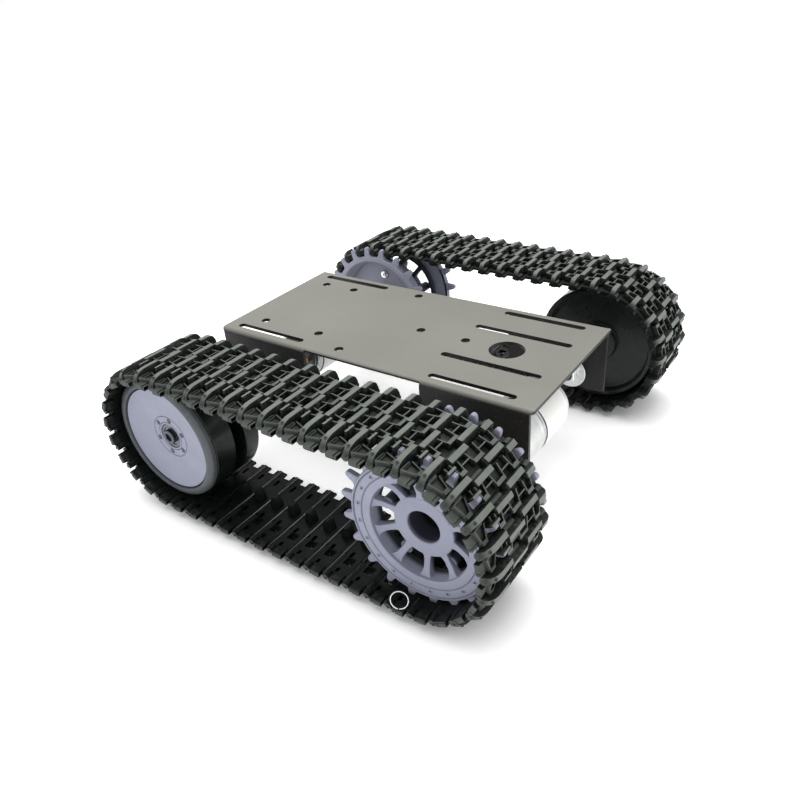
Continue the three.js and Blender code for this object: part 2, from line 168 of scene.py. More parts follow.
class Shape:
    """Points in millimetres and faces, gathered part by part."""

    def __init__(self):
        self.points, self.faces, self.slots = [], [], []

    def add(self, points, faces, slot=0):
        start = len(self.points)
        self.points += [tuple(p) for p in points]
        self.faces += [[start + i for i in face] for face in faces]
        self.slots += [slot] * len(faces)
        return self

    def turned(self, profile, centre, sides=96, slot=0, soft=0.0):
        """A solid of revolution about an axle; profile points are (radius, w)."""
        if soft:
            profile = fillet(profile, soft)
        points, rings = [], []
        for radius, w in profile:
            if radius < TINY:
                rings.append([len(points)])
                points.append((centre[0], -w, centre[1]))
            else:
                rings.append(list(range(len(points), len(points) + sides)))
                points += [(x, -w, z) for x, z in circle(radius, centre, sides)]
        faces = []
        for a, b in zip(rings, rings[1:] + rings[:1]):
            if len(a) == 1 and len(b) == 1:
                continue
            for i in range(sides):
                j = (i + 1) % sides
                face = [a[i % len(a)], a[j % len(a)], b[j % len(b)], b[i % len(b)]]
                faces.append(list(dict.fromkeys(face)))
        return self.add(points, faces, slot)

    def loft(self, rings, slot=0):
        """Rings of the same number of 3-D points, joined in order and closed at both ends."""
        count = len(rings[0])
        points = [p for ring in rings for p in ring]
        faces = []
        for r in range(len(rings) - 1):
            for i in range(count):
                j = (i + 1) % count
                a, b = r * count, (r + 1) * count
                faces.append([a + i, a + j, b + j, b + i])
        faces.append(list(range(count))[::-1])
        faces.append([(len(rings) - 1) * count + i for i in range(count)])
        return self.add(points, faces, slot)

    def slab(self, outline, w0, w1, holes=(), edge=0.0):
        """An outline in the XZ plane, thick from w0 to w1, with chamfered edges."""
        loops = [anticlockwise(list(outline))] + [anticlockwise(list(h))[::-1] for h in holes]
        layers = [(w0, 0.0), (w1, 0.0)]
        if edge:
            layers = [(w0, edge), (w0 + edge, 0.0), (w1 - edge, 0.0), (w1, edge)]
        points, faces, starts = [], [], []
        for w, cut in layers:
            starts.append(len(points))
            for loop in loops:
                flat = inset(loop, cut) if cut else loop
                points += [(x, -w, z) for x, z in flat]
        size = sum(len(loop) for loop in loops)
        for layer in range(len(layers) - 1):
            first = 0
            for loop in loops:
                for i in range(len(loop)):
                    j = (i + 1) % len(loop)
                    a, b = starts[layer] + first, starts[layer + 1] + first
                    faces.append([a + i, a + j, b + j, b + i])
                first += len(loop)
        for start in (starts[0], starts[-1]):
            flat = [Vector((p[0], p[2], 0)) for p in points[start : start + size]]
            parts, first = [], 0
            for loop in loops:
                parts.append(flat[first : first + len(loop)])
                first += len(loop)
            faces += [[start + i for i in tri] for tri in tessellate_polygon(parts)]
        return self.add(points, faces)

    def upright(self, outline, z0, z1):
        """An outline in the XY plane, thick from z0 to z1."""
        return self.loft([[(x, y, z) for x, y in outline] for z in (z0, z1)])

    def block(self, low, high):
        """A box between two opposite corners."""
        (x0, y0, z0), (x1, y1, z1) = low, high
        return self.upright([(x0, y0), (x1, y0), (x1, y1), (x0, y1)], z0, z1)

    def copies(self, other, matrices):
        """Adds another shape once for each matrix."""
        for matrix in matrices:
            start = len(self.points)
            self.points += [tuple(matrix @ Vector(p)) for p in other.points]
            self.faces += [[start + i for i in face] for face in other.faces]
            self.slots += other.slots
        return self

    def mesh(self, name, bevel=0.0):
        """A Blender mesh in metres, with outward faces, smooth shading and perhaps a bevel."""
        made = bpy.data.meshes.new(name)
        made.from_pydata([Vector(p) for p in self.points], [], self.faces)
        made.polygons.foreach_set("material_index", self.slots)
        work = bmesh.new()
        work.from_mesh(made)
        bmesh.ops.remove_doubles(work, verts=work.verts, dist=1e-5)
        bmesh.ops.dissolve_degenerate(work, dist=TINY, edges=work.edges)
        bmesh.ops.recalc_face_normals(work, faces=work.faces)
        if bevel:
            chamfer(work, bevel, SMOOTH_ANGLE)
        bmesh.ops.scale(work, vec=(MM, MM, MM), verts=work.verts)
        work.to_mesh(made)
        work.free()
        smooth(made, SMOOTH_ANGLE)
        return made


def scene_object(name, data):
    """A new object in the scene, made of a mesh, a lamp or a camera."""
    made = bpy.data.objects.new(name, data)
    bpy.context.scene.collection.objects.link(made)
    return made


def place(name, mesh, materials, body, nodes, left=False):
    """Adds a piece to the object: on its body, in place of its CAD nodes."""
    for material in materials:
        mesh.materials.append(material)
    piece = scene_object(name, mesh)
    if left:
        mesh.transform(Matrix.Rotation(math.pi, 4, "Z"))
    crisp = piece.modifiers.new("crisp", "WEIGHTED_NORMAL")
    crisp.keep_sharp = True
    crisp.weight = 80
    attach(piece, body)
    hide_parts(*nodes)


class Side:
    """One side of the chassis; both are drawn as the right-hand one."""

    def __init__(self, name):
        self.name, self.left = name, name == "left"

    def piece(self, node, suffix, shape, materials, body, slot, bevel=0.0):
        """The fine form of one CAD node of this side, named after it."""
        node = f"{node}_{self.name}"
        name = f"{node}_{suffix}"
        place(name, shape.mesh(name, bevel), materials, body, [node], self.left)


# ---- materials ----


class Surface:
    """A Principled material whose textures are laid out in millimetres."""

    def __init__(self, name, **constants):
        self.material = bpy.data.materials.new(name)
        self.material.use_nodes = True
        self.tree = self.material.node_tree
        self.shader = self.tree.nodes["Principled BSDF"]
        for key, value in constants.items():
            self.set(key.replace("_", " "), value)
        coordinates = self.tree.nodes.new("ShaderNodeTexCoord")
        self.normal = coordinates.outputs["Normal"]
        metres, scale = coordinates.outputs["Object"], (1 / MM,) * 3
        self.point = self.node("VectorMath", "Vector", metres, scale, operation="MULTIPLY")

    def set(self, socket, value):
        """Sets a socket of the shader."""
        self.plug(self.shader.inputs[socket], value)

    def plug(self, target, value):
        """Links a socket to another one, or gives it a constant."""
        if isinstance(value, bpy.types.NodeSocket):
            self.tree.links.new(value, target)
        elif target.type == "RGBA":
            target.default_value = (*value, 1.0)
        else:
            target.default_value = value

    def node(self, kind, output, a, b=None, **settings):
        made = self.tree.nodes.new("ShaderNode" + kind)
        for key, value in settings.items():
            setattr(made, key, value)
        for index, value in enumerate((a, b)):
            if value is not None:
                self.plug(made.inputs[index], value)
        return made.outputs[output]

    def math(self, operation, a, b=None):
        return self.node("Math", "Value", a, b, operation=operation)

    def noise(self, size, detail, roughness=0.55, stretch=None):
        """Noise with features about size millimetres wide."""
        point = self.point
        if stretch:
            point = self.node("VectorMath", "Vector", point, stretch, operation="MULTIPLY")
        made = self.tree.nodes.new("ShaderNodeTexNoise")
        self.plug(made.inputs["Vector"], point)
        made.inputs["Scale"].default_value = 1.0 / size
        made.inputs["Detail"].default_value = detail
        made.inputs["Roughness"].default_value = roughness
        return made.outputs["Fac"]

    def clouds(self, size, detail, out_low=0.0, out_high=1.0):
        """Noise with its contrast raised, from out_low to out_high."""
        return self.range(self.noise(size, detail), 0.3, 0.7, out_low, out_high)

    def range(self, value, low, high, out_low=0.0, out_high=1.0):
        """Carries low..high over to out_low..out_high, and stays within it."""
        made = self.tree.nodes.new("ShaderNodeMapRange")
        for index, item in enumerate((value, low, high, out_low, out_high)):
            self.plug(made.inputs[index], item)
        return made.outputs["Result"]

    def mix(self, factor, a, b):
        made = self.tree.nodes.new("ShaderNodeMix")
        made.data_type = "RGBA"
        self.plug(made.inputs["Factor"], factor)
        self.plug(made.inputs["A"], a)
        self.plug(made.inputs["B"], b)
        return made.outputs["Result"]

    def attribute(self, name):
        made = self.tree.nodes.new("ShaderNodeAttribute")
        made.attribute_name = name
        return made.outputs["Fac"]

    def up(self):
        """How far a face looks upwards in the object's own frame."""
        return self.node("SeparateXYZ", "Z", self.normal)

    def curvature(self, low, high):
        """From 0 to 1 between two values of the mesh's own curvature; flat is 0.5."""
        made = self.tree.nodes.new("ShaderNodeNewGeometry")
        return self.range(made.outputs["Pointiness"], low, high)

    def bumps(self, *layers):
        """Layers of (height, strength, distance in millimetres) on the normal."""
        normal = None
        for height, strength, distance in layers:
            made = self.tree.nodes.new("ShaderNodeBump")
            made.inputs["Strength"].default_value = strength
            made.inputs["Distance"].default_value = distance * MM
            self.plug(made.inputs["Height"], height)
            if normal is not None:
                self.plug(made.inputs["Normal"], normal)
            normal = made.outputs["Normal"]
        self.set("Normal", normal)


def deck_coating():
    """Coated sheet with a fine grain: black, with a painted reflection making it grey where it
    looks up, and painted glints on the black flanges.
    """
    s = Surface("deck_coating", Metallic=0.2)
    # painted reflection: faces that look up get the grey, standing in for the bright room they
    # reflect; the sheet's own coat is the black
    top = s.range(s.up(), 0.35, 0.97)
    cloud = s.clouds(45, 4)
    grain = s.noise(0.32, 2)
    grey = s.mix(cloud, (0.192, 0.190, 0.163), (0.224, 0.222, 0.193))
    grey = s.mix(s.range(grain, 0.38, 0.66, 0.0, 0.5), grey, (0.145, 0.138, 0.120))
    black = s.mix(s.range(s.noise(0.5, 3), 0.4, 0.7), (0.003, 0.0035, 0.003), (0.010, 0.010, 0.009))
    # painted glints: pale specks on the black flanges and bend
    painted_glints = s.range(s.noise(0.42, 2, 0.7), 0.64, 0.72)
    side = s.mix(s.math("MULTIPLY", painted_glints, 0.5), black, (0.24, 0.24, 0.23))
    s.set("Base Color", s.mix(top, side, grey))
    s.set("Roughness", s.clouds(0.6, 4, 0.42, 0.56))
    s.bumps((grain, 0.2, 0.05), (s.noise(0.9, 3), 0.12, 0.08))
    return s.material


def track_plastic():
    """Dark moulded plastic: painted light makes the bar tops and outward faces paler, painted shade
    makes the pockets and the wheel side near black, and edges are rubbed paler.
    """
    s = Surface("track_plastic", Specular_IOR_Level=0.13)
    # painted light and shade: the higher a point and the more its face looks outwards, the paler it
    # is; low and inward faces get the near-black painted shade
    lift = s.range(s.attribute("lift"), 0.30, 0.93)
    crown = s.range(s.attribute("crown"), 0.15, 0.85)
    top = s.math("MULTIPLY", s.math("POWER", lift, 1.4), s.range(crown, 0.0, 1.0, 0.07, 1.0))
    cloud = s.range(s.noise(14, 3), 0.35, 0.65)
    shade_colour = s.mix(cloud, (0.0040, 0.0055, 0.0048), (0.0062, 0.0080, 0.0070))
    shade_colour = s.mix(crown, shade_colour, (0.023, 0.027, 0.024))
    raised = s.mix(cloud, (0.131, 0.145, 0.130), (0.165, 0.181, 0.163))
    colour = s.mix(top, shade_colour, raised)
    worn = s.math("MULTIPLY", s.curvature(0.515, 0.59), s.range(s.noise(1.6, 3), 0.42, 0.62))
    rubbed = s.math("MULTIPLY", s.math("MULTIPLY", worn, 0.4), lift)
    colour = s.mix(rubbed, colour, (0.12, 0.13, 0.12))
    s.set("Base Color", colour)
    s.set("Roughness", s.clouds(2.2, 3, 0.38, 0.46))
    s.bumps((s.noise(0.22, 2), 0.06, 0.03), (s.noise(3.4, 2), 0.04, 0.1))
    return s.material


def wheel_plastic():
    """Grey-blue moulded plastic with darker specks, and painted shade in its corners and inside it.
    """
    s = Surface("wheel_plastic", Specular_IOR_Level=0.35)
    cloud = s.clouds(10, 4)
    colour = s.mix(cloud, (0.258, 0.270, 0.345), (0.290, 0.302, 0.384))
    speck = s.range(s.noise(0.6, 2), 0.64, 0.76, 0.0, 0.35)
    colour = s.mix(speck, colour, (0.180, 0.187, 0.238))
    grain = s.noise(0.35, 2)
    colour = s.mix(s.range(grain, 0.35, 0.65, 0.0, 0.22), colour, (0.200, 0.210, 0.262))
    # painted shade in the corners, and more of it inside the wheel between its two halves, where
    # shade falls
    crease_shade = s.curvature(0.47, 0.38)
    w = s.math("ABSOLUTE", s.node("SeparateXYZ", "Y", s.point))
    behind_spokes, before_dish = s.range(w, 85.9, 84.0), s.range(w, 66.6, 67.8)
    inside = s.math("MULTIPLY", behind_spokes, before_dish)
    painted_shade = s.math("MAXIMUM", s.math("MULTIPLY", crease_shade, 0.6), s.math("MULTIPLY", inside, 0.92))
    colour = s.mix(painted_shade, colour, (0.014, 0.015, 0.026))
    s.set("Base Color", colour)
    s.set("Roughness", s.clouds(2.2, 4, 0.45, 0.62))
    s.bumps((s.noise(0.3, 3), 0.12, 0.04), (s.noise(5, 2), 0.12, 0.15))
    return s.material


def drum_plastic():
    """Near-black plastic with a faint gloss."""
    s = Surface("drum_plastic", Specular_IOR_Level=0.3, Coat_Weight=0.12, Coat_Roughness=0.16)
    cloud = s.range(s.noise(7, 4), 0.35, 0.7)
    s.set("Base Color", s.mix(cloud, (0.0025, 0.0042, 0.0036), (0.0060, 0.0085, 0.0075)))
    s.set("Roughness", s.clouds(1.2, 4, 0.26, 0.40))
    s.bumps((s.noise(0.35, 3), 0.05, 0.03), (s.noise(7, 2), 0.14, 0.2))
    return s.material


def metal(name, colour, rough):
    """Metal with fine tool marks drawn out round the axle or along the piece."""
    s = Surface(name, Metallic=1.0)
    marks = s.noise(0.9, 3, 0.6, (1, 14, 1))
    cloud = s.clouds(5, 3)
    s.set("Base Color", s.mix(cloud, colour, tuple(0.78 * c for c in colour)))
    s.set("Roughness", s.range(marks, 0.3, 0.7, rough - 0.07, rough + 0.09))
    s.bumps((marks, 0.12, 0.03))
    return s.material


def label_film():
    """Plain white film round a motor."""
    s = Surface("label_film", Coat_Weight=0.15, Coat_Roughness=0.3)
    fibre = s.clouds(0.5, 4)
    s.set("Base Color", s.mix(fibre, (0.80, 0.80, 0.77), (0.88, 0.88, 0.855)))
    s.set("Roughness", s.clouds(1.3, 3, 0.38, 0.55))
    s.bumps((s.noise(3.5, 2), 0.12, 0.08))
    return s.material


def dark_plastic(name, colour, spread=2.2):
    """Plastic that varies between a colour and the same colour times spread."""
    s = Surface(name)
    cloud = s.clouds(2, 4)
    s.set("Base Color", s.mix(cloud, colour, tuple(spread * c for c in colour)))
    s.set("Roughness", s.clouds(0.8, 3, 0.4, 0.6))
    s.bumps((s.noise(0.3, 3), 0.12, 0.04))
    return s.material


DECK = deck_coating()
TRACK = track_plastic()
WHEEL = wheel_plastic()
DRUM = drum_plastic()
BRIGHT = metal("bright_steel", (0.78, 0.79, 0.80), 0.22)
PIN = metal("pin_steel", (0.085, 0.088, 0.09), 0.32)
EYE = dark_plastic("link_eye", (0.016, 0.018, 0.016))
DARK = metal("dark_steel", (0.10, 0.10, 0.105), 0.34)
RACE = metal("bearing_steel", (0.17, 0.175, 0.20), 0.36)
RIM = dark_plastic("rim_plastic", (0.052, 0.060, 0.066), 1.3)
BOLT = metal("bolt_steel", (0.13, 0.133, 0.155), 0.38)
GEARBOX = metal("gearbox_metal", (0.66, 0.67, 0.66), 0.42)
CAN = metal("can_steel", (0.55, 0.56, 0.58), 0.28)
ALLOY = metal("turned_aluminium", (0.70, 0.71, 0.73), 0.33)
BRASS = metal("brass", (0.72, 0.53, 0.24), 0.28)
LABEL = label_film()
CAP = dark_plastic("end_cap_plastic", (0.012, 0.012, 0.013))

# ---- deck ----

DECK_END, CORNER_R, BEND_R = 78, 2.2, 2.4
EDGE_Y = 37.7  # how far out the top reaches where it has no flange
FLANGE_GAP = (-28.8, 29.9)  # between the rear and the front flange of a long side
FLANGE_END = 76.6
SLOT_R = 1.65
LONG_SLOTS = ((-72, -34, 32.2), (30.5, 68.5, 32.2), (25.5, 70, 14.5))
HOLE_R = 2
HOLES = (
    (-65.5, 23.3), (-64, -23.3), (-48.5, 23.5), (-32.7, -23),
    (-15, 31), (-15, -31), (6.3, 0), (28.6, 0),
)
CABLE_HOLE, CABLE_HOLE_R = (48, 0), 7.5
MOTOR_SCREW_X = 8.5  # from the motor's axle to each of its two screws


def solid_object(shape, name):
    """A passing object for the cuts; it isn't a piece."""
    return scene_object(name, shape.mesh(name))


def slot_outline(x0, x1, y):
    """A long slot with round ends."""
    points = []
    for x, start in ((x1 - SLOT_R, -math.pi / 2), (x0 + SLOT_R, math.pi / 2)):
        points += [polar(SLOT_R, start + math.pi * k / 10, (x, y)) for k in range(11)]
    return points


def deck_section():
    """The folded sheet cut across: outside from right to left, inside back again."""
    half, top, bottom = DECK_HIGH.y, DECK_TOP, DECK_LOW.z

    def bend(sign, radius):
        centre = (half - BEND_R, top - BEND_R)
        quarter = [polar(radius, math.pi / 2 * k / 14, centre) for k in range(15)]
        return [(sign * y, z) for y, z in quarter]

    inner = BEND_R - SHEET
    outside = [(half, bottom), *bend(1, BEND_R), *bend(-1, BEND_R)[::-1], (-half, bottom)]
    inside = [(-WALL_IN, bottom), *bend(-1, inner), *bend(1, inner)[::-1], (WALL_IN, bottom)]
    return outside + inside


def deck_cuts():
    """What the sheet lacks round its edges: flange gaps, flange ends and corners."""
    half, top, bottom = DECK_HIGH.y, DECK_TOP, DECK_LOW.z
    beyond, past_end = 60, 90
    cuts = Shape()
    x0, x1 = FLANGE_GAP
    # the second block of a gap is a little smaller, so that no two faces coincide
    for side in (-1, 1):
        y0, y1 = sorted((side * EDGE_Y, side * beyond))
        v0, v1 = sorted((side * (WALL_IN - 2), side * beyond))
        cuts.block((x0, y0, bottom - 5), (x1, y1, top + 5))
        cuts.block((x0 + 0.01, v0, bottom - 4), (x1 - 0.01, v1, top - SHEET))
        for end0, end1 in ((FLANGE_END, past_end), (-past_end, -FLANGE_END)):
            cuts.block((end0, v0, bottom - 5), (end1, v1, top - SHEET))
    for sx in (-1, 1):
        for sy in (-1, 1):
            cx, cy = sx * (DECK_END - CORNER_R), sy * (half - CORNER_R)
            angles = np.linspace(0, math.pi / 2, 9)
            curve = [
                (cx + sx * CORNER_R * math.cos(a), cy + sy * CORNER_R * math.sin(a)) for a in angles
            ]
            outer = [(cx, cy + sy * 6), (cx + sx * 6, cy + sy * 6), (cx + sx * 6, cy)]
            cuts.upright(curve + outer, top - 6, top + 4)
    return cuts


def deck_holes():
    """Slots and holes of the top, and the motor and idler holes of the flanges."""
    half, low, high = DECK_HIGH.y, DECK_TOP - 4, DECK_TOP + 3
    holes = Shape()
    for sy in (-1, 1):
        for x0, x1, y in LONG_SLOTS:
            holes.upright(slot_outline(x0, x1, sy * y), low, high)
    for spot in HOLES:
        holes.upright(circle(HOLE_R, spot, 32), low, high)
    holes.upright(circle(CABLE_HOLE_R, CABLE_HOLE, 72), low, high)
    for sy in (-1, 1):
        motor_x = -sy * AXLE_X
        screws = [(motor_x - MOTOR_SCREW_X, 1.65), (motor_x + MOTOR_SCREW_X, 1.65)]
        for x, radius in [(motor_x, 3.8), (-motor_x, 2.3), *screws]:
            ring = circle(radius, (x, AXLE_Z), 32)
            ends = sorted((sy * (WALL_IN - 2), sy * (half + 2)))
            holes.loft([[(px, y, pz) for px, pz in ring] for y in ends])
    return holes


def deck():
    """The folded sheet: its section drawn out along X, with its openings cut."""
    ends = (DECK_LOW.x, DECK_HIGH.x)
    drawn = Shape().loft([[(x, y, z) for y, z in deck_section()] for x in ends])
    sheet = solid_object(drawn, "chassis_deck_fine")
    tools = [solid_object(shape, "cutter") for shape in (deck_cuts(), deck_holes())]
    for tool in tools:
        change = sheet.modifiers.new("cut", "BOOLEAN")
        change.object = tool
        change.operation = "DIFFERENCE"
        change.solver = "EXACT"
        change.use_self = True
    edge = sheet.modifiers.new("edge", "BEVEL")
    edge.width, edge.segments = 0.22 * MM, 2
    edge.limit_method, edge.angle_limit = "ANGLE", math.radians(40)
    edge.use_clamp_overlap = True
    bpy.context.view_layer.update()
    graph = bpy.context.evaluated_depsgraph_get()
    mesh = bpy.data.meshes.new_from_object(sheet.evaluated_get(graph))
    for helper in (sheet, *tools):
        bpy.data.objects.remove(helper)
    smooth(mesh, math.radians(35))
    mesh.materials.clear()
    place("deck", mesh, [DECK], "chassis", ["chassis_deck"])


# ---- tracks ----

GROUSER_TOP = 3.85
STAGGER = 0.8  # the bar's segments stand in front of and behind the pin in turn
SEGMENTS = ((58.0, 65.4), (65.6, 75.9), (76.1, 86.2), (86.4, 98.8))
KNUCKLE_R = 1.5
PLATE_LOW, PLATE_TOP = -1.2, -0.1
PLATE_START, PLATE_END = 0.9, PITCH - 0.9
WINDOWS = ((58.2, 61.4), (86.6, 90.4))  # one for each row of teeth
SILL = 1.8  # what is left of the plate before and after a window
PLATES = ((61.4, 86.6), (90.4, 95.6))
FINGERS = (  # the span of a finger at the far bar and at its foot, its top, half its wall
    ((63.2, 68.0), (63.9, 67.2), 2.6, 0.24),
    ((72.4, 78.6), (73.0, 78.0), 2.6, 0.24),
    ((82.9, 86.7), (83.8, 86.5), 2.6, 0.24),
    ((91.6, 97.1), (93.2, 95.6), 1.5, 0.26),
)
FOOT, FOOT_END = 2.6, 4.0
CROSS_RIBS, CROSS_AT = ((67.9, 72.5), (78.5, 83.0)), 5.3
SHORT_BAR_AT, RIM_AT = 6.2, 8.75
PAD, PAD_END = 3.5, PITCH - 1.35
HORN = (75.3, 78.7)  # from the inner to the outer side of the guide horn


def bar_section(top, half=1.05):
    """A track bar cut across: a round knuckle below, upright sides and a narrow flat top."""
    under = [polar(KNUCKLE_R, math.radians(a)) for a in range(192, 349, 26)]
    over = [(1.45, 0.3), (half + 0.2, 1.3), (half, top - 0.12), (half - 0.12, top)]
    return under + over + [(-s, n) for s, n in over[::-1]]


class Link(Shape):
    """A track link; points are (s, w, n), with s from its own pin to the next at PITCH."""

    def bar(self, at, stations):
        """A bar over a pin; stations are (w, top)."""
        section, low = bar_section(GROUSER_TOP), -1.6
        self.loft([[(at + s, w, max(low, min(n, top))) for s, n in section] for w, top in stations])

    def beam(self, start, end, half, low=-0.8):
        """A rib between two points (s, w, top)."""
        (s0, w0, _), (s1, w1, _) = start, end
        along = Vector((s1 - s0, w1 - w0)).normalized()
        across = Vector((-along.y, along.x)) * half
        rings = []
        for s, w, high in (start, end):
            a, b = (s + across.x, w + across.y), (s - across.x, w - across.y)
            rings.append([(*a, low), (*b, low), (*b, high), (*a, high)])
        self.loft(rings)

    def panel(self, s0, s1, narrow, wide, top):
        """A floor that is as wide as narrow at s0 and as wide as wide at s1."""
        outline = [(s0, narrow[0]), (s0, narrow[1]), (s1, wide[1]), (s1, wide[0])]
        self.upright(outline, -1.1, top)


def link_bars(link):
    """The staggered bar with its curled ends, and the eyes of the knuckles under it."""
    (a0, a1), (b0, b1), (c0, c1), (d0, d1) = SEGMENTS
    curl = [(a0, 0.2), (58.1, 1.3), (58.45, 2.2), (59.0, 2.95), (59.8, 3.5), (61.0, GROUSER_TOP)]
    link.bar(PITCH - STAGGER, curl + [(a1, GROUSER_TOP)])
    link.bar(STAGGER, [(b0, GROUSER_TOP), (b1, GROUSER_TOP)])
    link.bar(PITCH - STAGGER, [(c0, GROUSER_TOP), (c1, GROUSER_TOP)])
    curl = [(91.6, GROUSER_TOP), (93.6, 3.72), (95.3, 3.35), (96.6, 2.75), (97.6, 1.9), (98.4, 0.8)]
    link.bar(STAGGER, [(d0, GROUSER_TOP)] + curl + [(d1, -0.6)])
    ring = circle(KNUCKLE_R, sides=12)
    eyes = (*WINDOWS[0], 0), (a1 - 0.1, b0 + 0.1, 0), (92, 96, PITCH), (c0 + 2, c1 - 2, 0)
    for w0, w1, at in eyes:
        link.loft([[(at + s, w, n) for s, n in ring] for w in (w0, w1)])


def link_pockets(link):
    """The plate with its windows, and the ribs and floors between the bars."""
    for w0, w1 in PLATES:
        link.block((PLATE_START, w0, PLATE_LOW), (PLATE_END, w1, PLATE_TOP))
    for w0, w1 in WINDOWS:
        link.block((PLATE_START, w0, PLATE_LOW), (PLATE_START + SILL, w1, PLATE_TOP))
        link.block((PLATE_END - SILL, w0, PLATE_LOW), (PLATE_END, w1, PLATE_TOP))
    # fingers from the far bar: two walls, a floor between them and a thick foot
    for wide, narrow, top, half in FINGERS:
        link.block((FOOT, narrow[0] - 0.25, PLATE_LOW), (FOOT_END, narrow[1] + 0.25, top))
        link.panel(FOOT_END - 0.2, PLATE_END, narrow, wide, 0.3 * top - 0.1)
        for near, far in zip(narrow, wide):
            link.beam((FOOT_END - 0.3, near, top - 0.1), (8.2, far, top + 0.1), half)
    # a cross rib between neighbouring fingers, with a floor beyond it
    for w0, w1 in CROSS_RIBS:
        link.beam((CROSS_AT, w0, 2.5), (CROSS_AT, w1, 2.5), 0.24)
        link.panel(CROSS_AT, PLATE_END, (w0, w1), (w0, w1), 0.3)
    # short bar over the outer row of teeth, on a rib of its own
    link.beam((SHORT_BAR_AT, 86.3, 3.6), (SHORT_BAR_AT, 90.8, 3.6), 0.45, 0.0)
    link.beam((SHORT_BAR_AT, 88.6, 2.0), (PLATE_END, 88.6, 2.0), 0.3)
    # raised rim of the outer pocket, and the grooved pad at the very end
    link.beam((RIM_AT, 92.6, 1.7), (RIM_AT, 97.2, 1.7), 0.22)
    link.beam((FOOT_END - 0.4, 95.7, 1.3), (RIM_AT, 97.1, 1.7), 0.42)
    link.block((PAD, 95.4, -1.7), (PAD_END, 97.2, -0.1))
    link.block((PAD, 97.0, -1.7), (PAD_END, 99.7, -0.2))
    link.block((PAD + 1.25, 96.8, -1.2), (PAD_END, 99.9, 0.3))
    link.block((PAD, 96.8, -1.2), (PAD + 0.9, 99.9, 0.1))


def pin_eye(w, n, tilt):
    """Rings of a shallow eye on a bar's outer end, facing along tilt."""
    level = Vector((1, 0, 0))
    rise = tilt.cross(level).normalized()
    rings = []
    for radius, depth in ((0.6, -0.3), (0.6, 0.3), (0.38, 0.3), (0.32, 0.1)):
        middle = Vector((STAGGER, w, n)) + tilt * depth
        rings.append([middle + level * x + rise * y for x, y in circle(radius, sides=10)])
    return rings


def one_link():
    """A whole link with chamfered edges, its steel pin and the eyes at the bars' ends."""
    link = Link()
    link_bars(link)
    link_pockets(link)
    # guide horn on the wheel side
    horn = [(2.2, -0.5), (2.2, -2.0), (1.25, -5.4), (0.8, -6.0)]
    horn += [(-s, n) for s, n in horn[::-1]]
    link.loft([[(PITCH / 2 + s, w, n) for s, n in horn] for w in HORN])

    made = bpy.data.meshes.new("link")
    made.from_pydata(link.points, [], link.faces)
    work = bmesh.new()
    work.from_mesh(made)
    bmesh.ops.recalc_face_normals(work, faces=work.faces)
    chamfer(work, 0.1, math.radians(38))
    fine = Shape()
    fine.add([v.co for v in work.verts], [[v.index for v in f.verts] for f in work.faces])
    work.free()
    bpy.data.meshes.remove(made)

    pin = [(0.0, 58.2), (0.45, 58.3), (0.45, 98.2), (0.0, 98.3)]
    steel = Shape().turned(pin, (0, -1.2), 8)
    fine.add([(x, -y, z) for x, y, z in steel.points], steel.faces, 1)
    fine.loft(pin_eye(96.2, 2.95, Vector((0, 0.5, 0.86))), 2)
    fine.loft(pin_eye(98.45, 0.5, Vector((0, 0.95, 0.3))), 2)
    return fine


def chain():
    """Each link's place round the right-hand loop, with the section it belongs to."""
    pins = []
    for side, wheel, run in ((1, "sprocket_wrap", "upper_run"), (-1, "idler_wrap", "lower_run")):
        x = side * AXLE_X
        for k in range(TEETH // 2):
            pins.append((*polar(PIN_R, k * STEP - side * math.pi / 2, (x, AXLE_Z)), wheel))
        for k in range(RUN_LINKS):
            pins.append((x - side * k * PITCH, AXLE_Z + side * PIN_R, run))
    for k, (x, z, section) in enumerate(pins):
        next_x, next_z, _ = pins[(k + 1) % len(pins)]
        along = Vector((next_x - x, next_z - z)).normalized()
        out = Vector((along.y, -along.x))
        # columns: s, w and n of the link in X, Y and Z
        rows = ((along.x, 0, out.x, x), (0, -1, 0, 0), (along.y, 0, out.y, z), (0, 0, 0, 1))
        yield section, Matrix(rows)


def track_tones(link):
    """How high each point of a link stands, and how far each of its faces looks outwards: the masks
    from which the track material paints light and shade.
    """
    low, pad = -1.5, 96.5
    points = np.array([tuple(p) for p in link.points])
    lift = (points[:, 2] - low) / (GROUSER_TOP - low)
    lift = np.where(points[:, 1] > pad, np.maximum(lift, 0.54), lift)
    probe = bpy.data.meshes.new("probe")
    probe.from_pydata([Vector(p) for p in link.points], [], link.faces)
    crown = []
    for face in probe.polygons:
        sideways = 0.8 * face.normal.y if face.center.y > 96 else 0
        crown.append(max(0.0, face.normal.z, sideways))
    bpy.data.meshes.remove(probe)
    return np.clip(lift, 0, 1), np.array(crown)


def track(side):
    """All the links of a side, one piece for each section of the loop."""
    link = one_link()
    lift, crown = track_tones(link)
    places = {}
    for section, matrix in chain():
        places.setdefault(section, []).append(matrix)
    for section, matrices in places.items():
        name = f"track_{side.name}_{section}"
        shape = Shape().copies(link, matrices)
        mesh = bpy.data.meshes.new(name + "_links")
        mesh.from_pydata([Vector(p) * MM for p in shape.points], [], shape.faces)
        mesh.polygons.foreach_set("material_index", shape.slots)
        mesh.update()
        smooth(mesh, math.radians(30))
        for tone, kind, values in (("lift", "POINT", lift), ("crown", "FACE", crown)):
            tones = mesh.attributes.new(tone, "FLOAT", kind)
            tones.data.foreach_set("value", np.tile(values, len(matrices)).astype(np.float32))
        materials = [TRACK, PIN, EYE]
        place(name + "_links", mesh, materials, "chassis", [name], side.left)


# ---- sprocket ----

